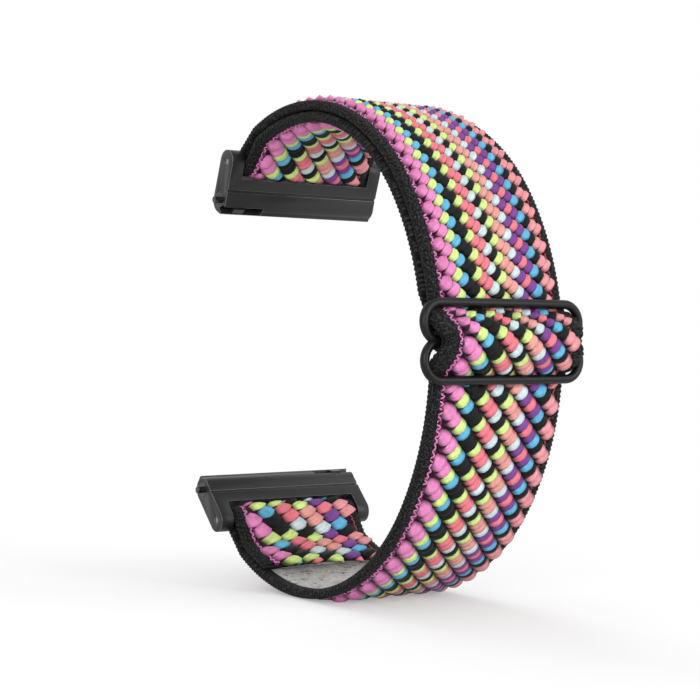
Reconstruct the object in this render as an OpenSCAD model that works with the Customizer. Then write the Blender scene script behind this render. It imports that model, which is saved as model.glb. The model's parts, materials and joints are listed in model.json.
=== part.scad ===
// Stretch watch band: one elastic braided strap, doubled through a slider,
// hung on two lug connectors that each hold a quick-release spring bar.
// X runs across the band, -Y is the slider side, +Y the watch side, +Z up.
// The origin is the middle of the flat on which the loop stands.

/* [Strap] */
// Width of the webbing over both woven edges
web_w = 18; // [16:0.5:24]
// Thickness of the woven base, which is all there is at the edges
web_t = 1.1; // [0.8:0.1:1.4]
// Height of the braided cords above the base on the coloured face
cord_h = 0.6; // [0.4:0.1:1]
// Width of the black woven edge on each side
edge_w = 1.4; // [1:0.1:2.5]
// Gap between the two layers where the strap is doubled
layer_gap = 0.2; // [0.1:0.05:0.4]

/* [Loop] */
// Radius of the flatter arc at the slider, between the two layers
side_r = 30.4; // [28:0.2:34]
// Radius of the upper and the lower arc, between the two layers
end_r = 23.6; // [21:0.2:25]
// Half the angle that the flatter arc spans
side_half = 35; // [30:1:38]
// Angle past the top at which the upper connector hangs
top_pin_at = 33; // [24:1:40]
// Angle past the bottom at which the lower connector stands
bottom_pin_at = 41; // [30:1:46]
// Depth of the flat on which the loop stands
foot_depth = 0.5; // [0.3:0.1:0.7]
// Length of the end that is folded back and sewn at the lower connector
tail_length = 6.2; // [5:0.5:12]

/* [Slider] */
// Diameter of the round rod that the slider is bent from
rod_d = 1; // [0.8:0.05:1.2]
// How far inside the strap's edges the straight part of each bar ends
bar_inset = 0.4; // [0.2:0.1:1.1]
// Distance from the middle bar to each outer bar
bar_pitch = 4.05; // [3.9:0.05:5.2]
// Angle above the horizontal at which the middle bar sits
slider_at = 1.5; // [-4:0.5:4]
// Gap between the cords and the outer bars that press on them
bar_gap = 0.1; // [0.05:0.05:0.3]

/* [Connector] */
// Width of the connector, which is the lug width of the watch
connector_w = 22; // [20:0.5:28]
// Gap between the strap and each arm of the connector
arm_gap = 0.3; // [0.2:0.05:0.5]
// Radius of the arms round the strap pin
arm_r = 1.45; // [1.2:0.05:1.6]
// Distance from the strap pin to the spring bar
bar_offset = 4.8; // [4.5:0.1:7]
// Radius of the boss round the spring bar
boss_r = 1.5; // [1.4:0.05:2]
// How far the wrist side of the block stands in from the pin line
block_in = 1.45; // [1.4:0.05:2]
// How far the flange reaches past the spring bar
flange_reach = 1.6; // [1.5:0.05:2.4]
// Clearance between the strap's fold and the hollow of the block
fold_gap = 0.1; // [0.1:0.05:0.5]
// Lean of the upper connector from the vertical
top_lean = 20; // [16:1:34]
// Lean of the lower connector from the vertical
bottom_lean = 43; // [30:1:48]
// Diameter of the pin that the strap folds round
pin_d = 0.8; // [0.7:0.05:1]

/* [Quick-release spring bar] */
// Outside diameter of the bar's tube
tube_d = 1.8; // [1.5:0.05:2]
// Wall of the tube
tube_wall = 0.25; // [0.2:0.05:0.3]
// Diameter of the tips that enter the watch's lug holes
tip_d = 0.8; // [0.7:0.05:0.9]
// How far each tip stands out of the connector
tip_reach = 0.8; // [0.6:0.1:1.2]
// Travel of the sprung tip when its lever is pushed in
tip_travel = 1.2; // [1.2:0.1:1.6]
// Length of the notch in which the lever slides
notch_length = 5.6; // [4.6:0.1:7]
// Height of the notch
notch_h = 1.1; // [0.9:0.05:1.2]
// Diameter of the lever's stem
stem_d = 0.6; // [0.5:0.05:0.7]
// Turns of the spring inside the tube
spring_turns = 12; // [8:1:14]

/* [Hidden] */

$fn = 48;
fit = 0.05;              // radial clearance of a turning or sliding fit
far = 100;               // reach of a cut that passes right through
cord_w = web_w - 2 * edge_w;
full_t = web_t + cord_h; // webbing over its cords
half_gap = layer_gap / 2;

// Arcs of the loop in the YZ plane, angles from +Y towards +Z
arc_drop = side_r - end_r;
side_c = [arc_drop * cos(side_half), 0];
top_c = [0, arc_drop * sin(side_half)];
bottom_c = [0, -arc_drop * sin(side_half)];
stand_h = top_c[1] + end_r + half_gap + full_t - foot_depth;

// Strap pins and the straight neck between each pin and the arcs
pin_inset = 1.1;         // the strap pulls the pins in from the arc by this much
pin_r = pin_d / 2;
fold_bore_r = pin_r + fit;
neck_angle = 10.5;
top_pin_dir = 90 - top_pin_at;
bottom_pin_dir = 270 + bottom_pin_at;
top_pin = top_c + polar(end_r - pin_inset, top_pin_dir);
bottom_pin = bottom_c + polar(end_r - pin_inset, bottom_pin_dir);
tail_angle = tail_length / end_r * 180 / PI;

// Slider
rod_r = rod_d / 2;
bar_length = web_w - 2 * bar_inset;
bar_lap = 0.15;          // how far each straight bar runs on into its round ends
bend_swell = 0.01;       // the rod thickens this much in its bends
lobe_r = bar_pitch / 2;
squash_h = 0.15;         // cords pressed flat under the bars and through the windows
pressed_t = web_t + squash_h;
bar_reach = side_r + half_gap + pressed_t + bar_gap + rod_r;
slider_h = sqrt(bar_reach * bar_reach - bar_pitch * bar_pitch);
seat_angle = asin((bar_pitch + 0.2) / side_r);
bar_angle = asin((bar_pitch + rod_r + 0.3) / side_r);
end_wrap_t = 0.6;        // webbing pulled thin round the middle bar
wrap_gap = 0.1;
hump_cord_h = 0.45;      // cords over the middle bar
press_r = rod_r + bar_gap + pressed_t;              // wrist face under an outer bar
over_r = rod_r + fit + end_wrap_t + wrap_gap;       // wrist face over the middle bar
climb = acos((press_r + over_r) / bar_pitch);       // slope of the strap between bars
arc_steps = 12;

// Connector, drawn with the strap pin at the origin, the spring bar along +X
// and the side away from the wrist towards +Y
arm_w = (connector_w - web_w) / 2 - arm_gap;
window_w = connector_w - 2 * arm_w;
window_r = fold_bore_r + full_t + fold_gap;
edge_round = 0.3;
flange_rise = 0.5;       // slope of the flange's wrist face over its reach
bore_r = tube_d / 2 + fit;
outline = [
    [0, 0, arm_r],
    [window_r, edge_round - block_in, edge_round],
    [bar_offset - edge_round, edge_round - block_in, edge_round],
    [bar_offset + flange_reach - edge_round, edge_round + flange_rise - block_in, edge_round],
    [bar_offset, 0, boss_r]];
groove_r = 0.16;
groove_at = 1.5;         // from the spring bar's axis towards the strap pin
notch_dir = -48;         // the lever points to the flange's sloping face

// Spring bar, along the connector's width
tube_r = tube_d / 2;
tube_bore_r = tube_r - tube_wall;
tube_half = connector_w / 2;
tip_r = tip_d / 2;
plunger_r = tube_bore_r - fit;
plunger_length = 5;
plug_length = 2;
lever_inset = 2.2;       // of the lever from the tube's end
lever_at = lever_inset - tube_half;
stem_r = stem_d / 2;
slot_gap = 0.08;
tube_slot_h = stem_d + 2 * slot_gap;
stem_length = 1.6;
knob_w = 1.5;
knob_h = 0.5;
knob_gap = 0.15;         // between the knob and each side of its notch
pin_gap = 0.1;           // between the strap pin's end and the connector's side
spring_wire = 0.16;
spring_gap = 0.04;
spring_from = -tube_half + plunger_length + spring_gap;
spring_to = tube_half - plug_length - spring_gap;
spring_r = tube_bore_r - fit - spring_wire / 2;

// Stitches
thread_d = 0.3;
stitch_count = 10;
stitch_pitch = cord_w / stitch_count;
tail_tack = 2.5;         // degrees from the tail's cut end to its bar tack
end_tack_at = 2.4;       // from the middle bar to the bar tack of the sewn end
end_tack_in = 3;         // from the middle bar to the wrist side of that tack
end_tack_t = 1.3;

web_black = "#26262a";
web_pink = "#e06fae";
web_lime = "#d3ef62";
web_purple = "#8b4aa8";
metal = "#3a3a3d";
bright = "#9a9a9c";

function polar(r, a) = [r * cos(a), r * sin(a)];

// Point where a line from point a touches the circle round c, on side +1 or -1
function touch(a, c, r, side) =
    let (d = norm(a - c), dir = atan2(a[1] - c[1], a[0] - c[0]))
    c + polar(r, dir + side * acos(r / d));

// The same points, turned round where side is -1
function wound(points, side) =
    side > 0 ? points : [for (i = [len(points) - 1 : -1 : 0]) points[i]];

// Outer tangent between two circles [x, y, r] met anticlockwise
function tangent(p, q) =
    let (d = [q[0] - p[0], q[1] - p[1]], l = norm(d), u = d / l, k = (p[2] - q[2]) / l,
         n = u * k + [u[1], -u[0]] * sqrt(1 - k * k))
    [[p[0], p[1]] + n * p[2], [q[0], q[1]] + n * q[2]];

// A plate drawn in the YZ plane and given a width along X
module across(width) {
    rotate([90, 0, 90]) linear_extrude(width, center = true) children();
}

module raised() {
    translate([0, 0, stand_h]) children();
}

// Cross-section of the webbing on an arc: base at radius r, cords on side +1 or -1
module webbing_section(r, side) {
    slope = 0.5;
    polygon([[r, -web_w / 2], [r + side * web_t, -web_w / 2],
        [r + side * web_t, -cord_w / 2], [r + side * full_t, -cord_w / 2 + slope],
        [r + side * full_t, cord_w / 2 - slope], [r + side * web_t, cord_w / 2],
        [r + side * web_t, web_w / 2], [r, web_w / 2]]);
}

// Webbing along an arc round c, from one angle to another
module webbing_arc(c, r, side, from, to) {
    rotate([90, 0, 90]) translate([c[0], c[1], 0]) rotate([0, 0, from])
        rotate_extrude(angle = to - from, $fn = 180) webbing_section(r + side * half_gap, side);
}

// Fold round a pin, with both layers running to the arc at angle neck_end
module fold_outline(pin, c, neck_end, t) {
    outer = c + polar(end_r + half_gap + t, neck_end);
    inner = c + polar(end_r - half_gap - t, neck_end);
    turn = cross(inner - outer, pin - outer) > 0 ? 1 : -1;
    slit = polar(half_gap, neck_end);
    middle = c + polar(end_r, neck_end);
    difference() {
        union() {
            polygon(wound([outer, touch(outer, pin, fold_bore_r + t, -turn), pin,
                touch(inner, pin, fold_bore_r + t, turn), inner], -turn));
            translate(pin) circle(r = fold_bore_r + t);
        }
        translate(pin) circle(r = fold_bore_r);
        polygon(wound([pin - slit / 2, middle - slit, 2 * middle - pin, middle + slit,
            pin + slit / 2], turn));
    }
}

module pin_fold(pin, c, neck_end) {
    across(web_w) fold_outline(pin, c, neck_end, web_t);
    across(cord_w) fold_outline(pin, c, neck_end, full_t);
}

// Frame of the slider: +X across, +Y up the strap, +Z away from the wrist
module at_slider() {
    translate([0, side_c[0], stand_h]) rotate([90 - slider_at, 0, 0]) children();
}

function arc_points(c, r, from, to) =
    [for (i = [0 : arc_steps]) c + polar(r, from + (to - from) * i / arc_steps)];

// The strap's face at depth t from its wrist face, on its way under an outer bar and up
// to the top of the middle bar, where the cords stand higher by rise
function climb_points(t, rise) = concat(
    [polar(side_r + half_gap + t, 90 + bar_angle)],
    arc_points([-bar_pitch, slider_h], press_r - t, 270 + atan(bar_pitch / slider_h),
        360 - climb),
    arc_points([0, slider_h], over_r + t + rise, 180 - climb, 90));

// The same face over both halves of the slider
function hump_points(t, rise) =
    let (half = climb_points(t, rise), n = len(half))
    concat(half, [for (i = [n - 2 : -1 : 0]) [-half[i][0], half[i][1]]]);

module hump_outline(t, rise) {
    face = hump_points(0, 0);
    back = hump_points(t, rise);
    polygon(concat(face, [for (i = [len(back) - 1 : -1 : 0]) back[i]]));
}

// The strap's drawing plane, with s along local Y and the radius along local Z
module slider_plate(width) {
    at_slider() rotate([90, 0, 90]) linear_extrude(width, center = true) children();
}

module sewn_end_outline(t) {
    bar = [0, slider_h];
    ends = polar(1, 90 - seat_angle);
    upper = ends * (side_r - half_gap);
    lower = ends * (side_r - half_gap - t);
    difference() {
        union() {
            translate(bar) circle(r = rod_r + fit + end_wrap_t);
            polygon([touch(lower, bar, rod_r + fit + end_wrap_t, -1), lower, upper,
                touch(upper, bar, rod_r + fit + 0.1, -1)]);
        }
        translate(bar) circle(r = rod_r + fit);
    }
}

// Rod bent into one lobe of the slider, above the middle bar
module slider_lobe() {
    for (side = [-1, 1])
        translate([side * bar_length / 2, lobe_r, 0]) rotate([0, 0, side > 0 ? -90 : 90])
            rotate_extrude(angle = 180) translate([lobe_r, 0]) circle(r = rod_r + bend_swell);
    translate([0, bar_pitch, 0]) rotate([0, 90, 0])
        cylinder(r = rod_r, h = bar_length + 2 * bar_lap, center = true);
}

// Seat of a connector: its drawing plane is the YZ plane, its width runs along X
module at_top() {
    raised() rotate([90, 0, 90]) translate([top_pin[0], top_pin[1], 0])
        rotate([0, 0, top_lean - 90]) children();
}

module at_bottom() {
    raised() rotate([90, 0, 90]) translate([bottom_pin[0], bottom_pin[1], 0])
        rotate([0, 0, 90 - bottom_lean]) rotate([180, 0, 0]) children();
}

module connector_outline() {
    n = len(outline);
    polygon([for (i = [0 : n - 1]) each tangent(outline[i], outline[(i + 1) % n])]);
    for (o = outline) translate([o[0], o[1]]) circle(r = o[2]);
}

module connector() {
    difference() {
        linear_extrude(connector_w, center = true) connector_outline();
        translate([-far, -far / 2, -window_w / 2]) cube([far, far, window_w]);
        cylinder(r = window_r, h = window_w, center = true);
        translate([bar_offset, 0, 0]) cylinder(r = bore_r, h = far, center = true);
        cylinder(r = pin_r, h = far, center = true);
        translate([bar_offset - groove_at, -block_in, 0]) cylinder(r = groove_r, h = far, center = true);
        translate([bar_offset, 0, -connector_w / 2 - 1]) rotate([0, 0, notch_dir])
            translate([0, -notch_h / 2, 0]) cube([far, notch_h, notch_length + 1]);
    }
}

module strap_pin() {
    cylinder(r = pin_r, h = connector_w - 2 * pin_gap, center = true);
}

module bar_tube() {
    translate([bar_offset, 0, 0]) difference() {
        cylinder(r = tube_r, h = 2 * tube_half, center = true);
        cylinder(r = tube_bore_r, h = far, center = true);
        rotate([0, 0, notch_dir])
            translate([0, -tube_slot_h / 2, lever_at - stem_r - slot_gap])
                cube([far, tube_slot_h, tip_travel + stem_d + 2 * slot_gap]);
    }
}

module fixed_tip() {
    translate([bar_offset, 0, tube_half - plug_length])
        cylinder(r = tube_bore_r, h = plug_length);
    translate([bar_offset, 0, tube_half])
        cylinder(r = tip_r, h = tip_reach);
}

module sprung_tip() {
    translate([bar_offset, 0, 0]) difference() {
        union() {
            translate([0, 0, -tube_half]) cylinder(r = plunger_r, h = plunger_length);
            translate([0, 0, -tube_half - tip_reach])
                cylinder(r = tip_r, h = tip_reach + plunger_length / 2);
        }
        translate([0, 0, lever_at]) rotate([0, 0, notch_dir]) rotate([0, 90, 0])
            cylinder(r = stem_r, h = far);
    }
}

module release_lever() {
    translate([bar_offset, 0, lever_at]) rotate([0, 0, notch_dir]) {
        rotate([0, 90, 0]) cylinder(r = stem_r, h = stem_length);
        translate([stem_length - knob_h, knob_gap - notch_h / 2, -knob_w / 2])
            cube([knob_h, notch_h - 2 * knob_gap, knob_w]);
    }
}

// Coil of the spring, swept as one tube of six sides
spring_sides = 6;
spring_rings = 10;
spring_last = spring_turns * spring_rings;
function coil_centre(i) = [spring_r * cos(360 * i / spring_rings),
    spring_r * sin(360 * i / spring_rings),
    spring_from + spring_wire / 2 + (spring_to - spring_from - spring_wire) * i / spring_last];
function coil_point(i, j) =
    let (a = 360 * i / spring_rings, b = 360 * j / spring_sides, w = spring_wire / 2)
    coil_centre(i) + [w * cos(b) * cos(a), w * cos(b) * sin(a), w * sin(b)];

module bar_spring() {
    points = [for (i = [0 : spring_last]) for (j = [0 : spring_sides - 1]) coil_point(i, j)];
    walls = [for (i = [0 : spring_last - 1]) for (j = [0 : spring_sides - 1])
        let (a = i * spring_sides + j, b = i * spring_sides + (j + 1) % spring_sides,
             c = a + spring_sides, d = b + spring_sides)
        each [[a, c, b], [b, c, d]]];
    first = [for (j = [1 : spring_sides - 2]) [0, j, j + 1]];
    end = spring_last * spring_sides;
    last = [for (j = [1 : spring_sides - 2]) [end, end + j + 1, end + j]];
    translate([bar_offset, 0, 0]) polyhedron(points, concat(walls, first, last));
}

module single_layer() {
    color(web_lime) raised() difference() {
        webbing_arc(bottom_c, end_r, 1, 180 + side_half, bottom_pin_dir - neck_angle);
        translate([-far / 2, -far / 2, -stand_h - far]) cube(far);
    }
}

module single_layer_feed() {
    color(web_lime) raised()
        webbing_arc(side_c, side_r, 1, 180 - slider_at + bar_angle, 180 + side_half);
}

module outer_layer() {
    color(web_pink) raised()
        webbing_arc(top_c, end_r, 1, top_pin_dir + neck_angle, 180 - side_half);
}

module outer_layer_feed() {
    color(web_pink) raised()
        webbing_arc(side_c, side_r, 1, 180 - side_half, 180 - slider_at - bar_angle);
}

module inner_layer() {
    color(web_purple) raised()
        webbing_arc(top_c, end_r, -1, top_pin_dir + neck_angle, 180 - side_half);
}

module inner_layer_feed() {
    color(web_purple) raised()
        webbing_arc(side_c, side_r, -1, 180 - side_half, 180 - slider_at - seat_angle);
}

module top_pin_fold() {
    color(web_pink) raised() pin_fold(top_pin, top_c, top_pin_dir + neck_angle);
}

module bottom_pin_fold() {
    color(web_lime) raised() pin_fold(bottom_pin, bottom_c, bottom_pin_dir - neck_angle);
}

module folded_tail() {
    color(web_purple) raised() webbing_arc(bottom_c, end_r, -1,
        bottom_pin_dir - neck_angle - tail_angle, bottom_pin_dir - neck_angle);
}

// Bar tack through the tail and the strap under it
module tail_stitching() {
    tack = bottom_pin_dir - neck_angle - tail_angle + tail_tack;
    color(web_black) raised() for (i = [0.5 : stitch_count - 0.5])
        translate([-cord_w / 2 + i * stitch_pitch, bottom_c[0], bottom_c[1]])
            rotate([tack, 0, 0]) translate([0, end_r - half_gap - full_t, 0]) rotate([-90, 0, 0])
                cylinder(d = thread_d, h = full_t + layer_gap + web_t, $fn = 16);
}

module slider_frame() {
    color(metal) at_slider() translate([0, 0, slider_h]) {
        rotate([0, 90, 0]) cylinder(r = rod_r, h = bar_length + 2 * bar_lap, center = true);
        slider_lobe();
        mirror([0, 1, 0]) slider_lobe();
    }
}

module strap_over_bar() {
    color(web_pink) {
        slider_plate(web_w) hump_outline(web_t, 0);
        slider_plate(cord_w) hump_outline(pressed_t, hump_cord_h - squash_h);
    }
}

module sewn_end() {
    color(web_purple) slider_plate(web_w) sewn_end_outline(web_t);
}

// Bar tack that closes the sewn end round the middle bar
module sewn_end_stitching() {
    color(web_black) at_slider() for (i = [0.5 : stitch_count - 0.5])
        translate([-cord_w / 2 + i * stitch_pitch, end_tack_at, slider_h - end_tack_in])
            cylinder(d = thread_d, h = end_tack_t, $fn = 16);
}

module top_connector() { color(metal) at_top() connector(); }
module top_strap_pin() { color(bright) at_top() strap_pin(); }
module top_bar_tube() { color(bright) at_top() bar_tube(); }
module top_fixed_tip() { color(bright) at_top() fixed_tip(); }
module top_bar_spring() { color("silver") at_top() bar_spring(); }
module top_sprung_tip() { color(bright) at_top() sprung_tip(); }
module top_release_lever() { color(metal) at_top() release_lever(); }
module bottom_connector() { color(metal) at_bottom() connector(); }
module bottom_strap_pin() { color(bright) at_bottom() strap_pin(); }
module bottom_bar_tube() { color(bright) at_bottom() bar_tube(); }
module bottom_fixed_tip() { color(bright) at_bottom() fixed_tip(); }
module bottom_bar_spring() { color("silver") at_bottom() bar_spring(); }
module bottom_sprung_tip() { color(bright) at_bottom() sprung_tip(); }
module bottom_release_lever() { color(metal) at_bottom() release_lever(); }

single_layer();
single_layer_feed();
outer_layer();
outer_layer_feed();
inner_layer();
inner_layer_feed();
top_pin_fold();
bottom_pin_fold();
folded_tail();
tail_stitching();
slider_frame();
strap_over_bar();
sewn_end();
sewn_end_stitching();
top_connector();
top_strap_pin();
top_bar_tube();
top_fixed_tip();
top_bar_spring();
top_sprung_tip();
top_release_lever();
bottom_connector();
bottom_strap_pin();
bottom_bar_tube();
bottom_fixed_tip();
bottom_bar_spring();
bottom_sprung_tip();
bottom_release_lever();
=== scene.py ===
"""Stretch watch band: one braided elastic strap, a double-ring slider, two lug connectors."""
import json
import random
from bisect import bisect_right
from math import acos, asin, atan, atan2, ceil, cos, degrees, pi, radians, sin, sqrt

import bmesh
import bpy
from mathutils import Vector
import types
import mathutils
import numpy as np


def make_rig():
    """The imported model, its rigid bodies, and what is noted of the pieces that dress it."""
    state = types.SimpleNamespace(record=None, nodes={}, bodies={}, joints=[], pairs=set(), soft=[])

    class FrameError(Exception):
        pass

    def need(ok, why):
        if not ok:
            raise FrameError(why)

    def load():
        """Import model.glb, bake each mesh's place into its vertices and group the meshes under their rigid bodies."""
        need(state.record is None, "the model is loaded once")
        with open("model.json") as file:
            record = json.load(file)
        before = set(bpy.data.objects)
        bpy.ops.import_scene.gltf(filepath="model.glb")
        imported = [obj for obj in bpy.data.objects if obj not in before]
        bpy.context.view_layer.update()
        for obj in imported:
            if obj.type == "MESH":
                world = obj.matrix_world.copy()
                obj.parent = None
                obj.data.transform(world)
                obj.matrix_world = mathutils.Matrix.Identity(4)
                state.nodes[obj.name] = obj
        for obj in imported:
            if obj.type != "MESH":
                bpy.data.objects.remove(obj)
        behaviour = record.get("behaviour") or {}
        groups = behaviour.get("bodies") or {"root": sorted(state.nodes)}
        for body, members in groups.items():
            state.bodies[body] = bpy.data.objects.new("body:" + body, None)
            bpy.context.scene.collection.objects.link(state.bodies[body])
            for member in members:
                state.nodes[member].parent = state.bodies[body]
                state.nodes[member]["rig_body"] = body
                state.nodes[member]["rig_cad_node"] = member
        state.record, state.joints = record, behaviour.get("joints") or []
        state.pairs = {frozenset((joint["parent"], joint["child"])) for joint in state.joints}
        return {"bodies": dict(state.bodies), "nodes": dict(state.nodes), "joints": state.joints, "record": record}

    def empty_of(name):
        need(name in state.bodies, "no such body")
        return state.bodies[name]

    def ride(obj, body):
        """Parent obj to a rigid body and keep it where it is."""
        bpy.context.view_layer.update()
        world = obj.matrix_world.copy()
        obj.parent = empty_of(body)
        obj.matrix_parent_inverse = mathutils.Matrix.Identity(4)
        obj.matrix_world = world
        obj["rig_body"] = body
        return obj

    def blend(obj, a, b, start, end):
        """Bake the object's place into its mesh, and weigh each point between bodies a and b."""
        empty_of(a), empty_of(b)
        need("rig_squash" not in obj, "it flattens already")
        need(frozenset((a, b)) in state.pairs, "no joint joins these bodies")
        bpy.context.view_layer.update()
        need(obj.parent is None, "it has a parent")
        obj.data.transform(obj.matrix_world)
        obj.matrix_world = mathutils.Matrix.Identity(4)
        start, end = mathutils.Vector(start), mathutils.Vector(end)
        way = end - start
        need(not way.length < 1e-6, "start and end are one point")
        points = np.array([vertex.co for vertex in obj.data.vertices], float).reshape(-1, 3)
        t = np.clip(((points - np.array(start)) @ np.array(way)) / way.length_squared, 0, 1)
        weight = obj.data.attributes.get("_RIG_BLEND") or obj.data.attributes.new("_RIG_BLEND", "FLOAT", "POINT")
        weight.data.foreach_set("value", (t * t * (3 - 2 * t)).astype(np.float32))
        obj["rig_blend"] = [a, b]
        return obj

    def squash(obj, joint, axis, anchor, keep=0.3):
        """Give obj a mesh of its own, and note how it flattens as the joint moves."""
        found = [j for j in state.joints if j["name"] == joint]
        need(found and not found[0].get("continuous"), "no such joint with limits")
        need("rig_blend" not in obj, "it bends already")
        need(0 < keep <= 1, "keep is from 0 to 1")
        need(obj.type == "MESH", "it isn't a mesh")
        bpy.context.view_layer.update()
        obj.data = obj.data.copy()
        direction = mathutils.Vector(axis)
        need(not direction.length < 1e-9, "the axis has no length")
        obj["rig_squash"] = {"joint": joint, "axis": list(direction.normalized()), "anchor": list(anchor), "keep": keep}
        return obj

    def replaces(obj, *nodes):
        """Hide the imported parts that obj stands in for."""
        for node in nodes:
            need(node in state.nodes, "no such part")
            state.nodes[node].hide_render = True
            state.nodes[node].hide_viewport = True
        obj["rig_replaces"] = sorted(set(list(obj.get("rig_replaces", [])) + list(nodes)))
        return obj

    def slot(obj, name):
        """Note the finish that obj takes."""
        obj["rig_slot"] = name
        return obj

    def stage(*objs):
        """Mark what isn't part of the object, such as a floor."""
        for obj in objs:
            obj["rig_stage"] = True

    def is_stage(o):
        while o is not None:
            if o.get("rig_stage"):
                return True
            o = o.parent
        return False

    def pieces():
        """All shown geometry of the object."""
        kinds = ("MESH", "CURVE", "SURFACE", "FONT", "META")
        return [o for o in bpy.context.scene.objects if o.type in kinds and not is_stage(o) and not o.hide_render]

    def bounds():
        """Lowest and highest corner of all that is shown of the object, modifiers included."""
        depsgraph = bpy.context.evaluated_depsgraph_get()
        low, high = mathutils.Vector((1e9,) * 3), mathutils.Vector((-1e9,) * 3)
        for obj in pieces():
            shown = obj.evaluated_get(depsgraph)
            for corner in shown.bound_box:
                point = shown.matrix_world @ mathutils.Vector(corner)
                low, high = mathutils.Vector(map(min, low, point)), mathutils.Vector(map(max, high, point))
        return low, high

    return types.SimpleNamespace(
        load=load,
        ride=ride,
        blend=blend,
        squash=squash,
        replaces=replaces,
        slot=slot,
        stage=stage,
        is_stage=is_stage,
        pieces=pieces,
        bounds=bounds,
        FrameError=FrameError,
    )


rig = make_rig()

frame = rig.load()
nodes = frame["nodes"]
cad_box = [list(corner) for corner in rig.bounds()]
MM = 0.001

# Sizes of the strap and its loop, in millimetres
WEB_W = 18.0
WEB_T = 1.1
CORD_H = 0.6
EDGE_W = 1.4
HALF_GAP = 0.1
SIDE_R = 30.4
END_R = 23.6
SIDE_HALF = 35.0
TOP_PIN_AT = 33.0
BOTTOM_PIN_AT = 41.0
FOOT_DEPTH = 0.5
TAIL_LENGTH = 6.2
NECK_ANGLE = 10.5
PIN_INSET = 1.1
PIN_R = 0.4
FIT = 0.05

# Sizes of the slider
ROD_R = 0.5
BAR_LENGTH = 17.2
BAR_PITCH = 4.05
SLIDER_AT = 1.5
BAR_GAP = 0.1
SQUASH_H = 0.15
END_WRAP_T = 0.6
END_WRAP_ANGLE = 300
WRAP_GAP = 0.1
SEAT_SPARE = 0.2
ARC_STEP = 1.5

# Where the loop, its arcs, its pins and the slider's bars lie, in the plane across the band
ARC_DROP = SIDE_R - END_R
SIDE_C = Vector((ARC_DROP * cos(radians(SIDE_HALF)), 0))
TOP_C = Vector((0, ARC_DROP * sin(radians(SIDE_HALF))))
BOTTOM_C = -TOP_C
STAND_H = TOP_C.y + END_R + HALF_GAP + WEB_T + CORD_H - FOOT_DEPTH
TOP_PIN_DIR = 90 - TOP_PIN_AT
BOTTOM_PIN_DIR = 270 + BOTTOM_PIN_AT
TOP_NECK = TOP_PIN_DIR + NECK_ANGLE
BOTTOM_NECK = BOTTOM_PIN_DIR - NECK_ANGLE
FOLD_R = PIN_R + FIT
PRESS_R = ROD_R + BAR_GAP + WEB_T + SQUASH_H
OVER_R = ROD_R + FIT + END_WRAP_T + WRAP_GAP
BAR_H = sqrt((SIDE_R + HALF_GAP + PRESS_R) ** 2 - BAR_PITCH ** 2)
CLIMB = degrees(acos((PRESS_R + OVER_R) / BAR_PITCH))
BAR_BEARING = degrees(atan(BAR_PITCH / BAR_H))
SEAT_ANGLE = degrees(asin((BAR_PITCH + SEAT_SPARE) / SIDE_R))


def polar(r, angle):
    return Vector((r * cos(radians(angle)), r * sin(radians(angle))))


def bearing(point, centre):
    away = point - centre
    return degrees(atan2(away.y, away.x))


def touch(point, centre, r, side):
    """Where a straight from the point touches the circle, on one side of it."""
    lean = degrees(acos(r / (point - centre).length))
    return centre + polar(r, bearing(point, centre) + side * lean)


def arc(centre, r, start, end):
    count = max(3, ceil(abs(end - start) / ARC_STEP))
    return [centre + polar(r, start + (end - start) * i / count) for i in range(count + 1)]


def from_slider(points):
    """Points given as (up the strap, out from the arc's centre), in the loop's plane."""
    a = radians(SLIDER_AT)
    return [SIDE_C + Vector((p.x * sin(a) - p.y * cos(a), p.x * cos(a) + p.y * sin(a)))
            for p in points]


def fold(pin, centre, neck, first_r, last_r):
    """Straight to the pin, round it, and straight back to the arc."""
    first = centre + polar(first_r, neck)
    last = centre + polar(last_r, neck)
    start = bearing(touch(first, pin, FOLD_R, -1), pin)
    end = bearing(touch(last, pin, FOLD_R, 1), pin)
    while end > start:
        end -= 360
    return [first] + arc(pin, FOLD_R, start, end) + [last]


MIDDLE_BAR = Vector((0, BAR_H))
LOWER_BAR = Vector((-BAR_PITCH, BAR_H))
UPPER_BAR = Vector((BAR_PITCH, BAR_H))
OUTER_BARS = from_slider([LOWER_BAR, UPPER_BAR])
TOP_PIN = TOP_C + polar(END_R - PIN_INSET, TOP_PIN_DIR)
BOTTOM_PIN = BOTTOM_C + polar(END_R - PIN_INSET, BOTTOM_PIN_DIR)


def sewn_end_path():
    seat = polar(SIDE_R - HALF_GAP, 90 - SEAT_ANGLE)
    start = bearing(touch(seat, MIDDLE_BAR, ROD_R + FIT, -1), MIDDLE_BAR)
    return from_slider(arc(MIDDLE_BAR, ROD_R + FIT, start, start - END_WRAP_ANGLE))


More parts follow.
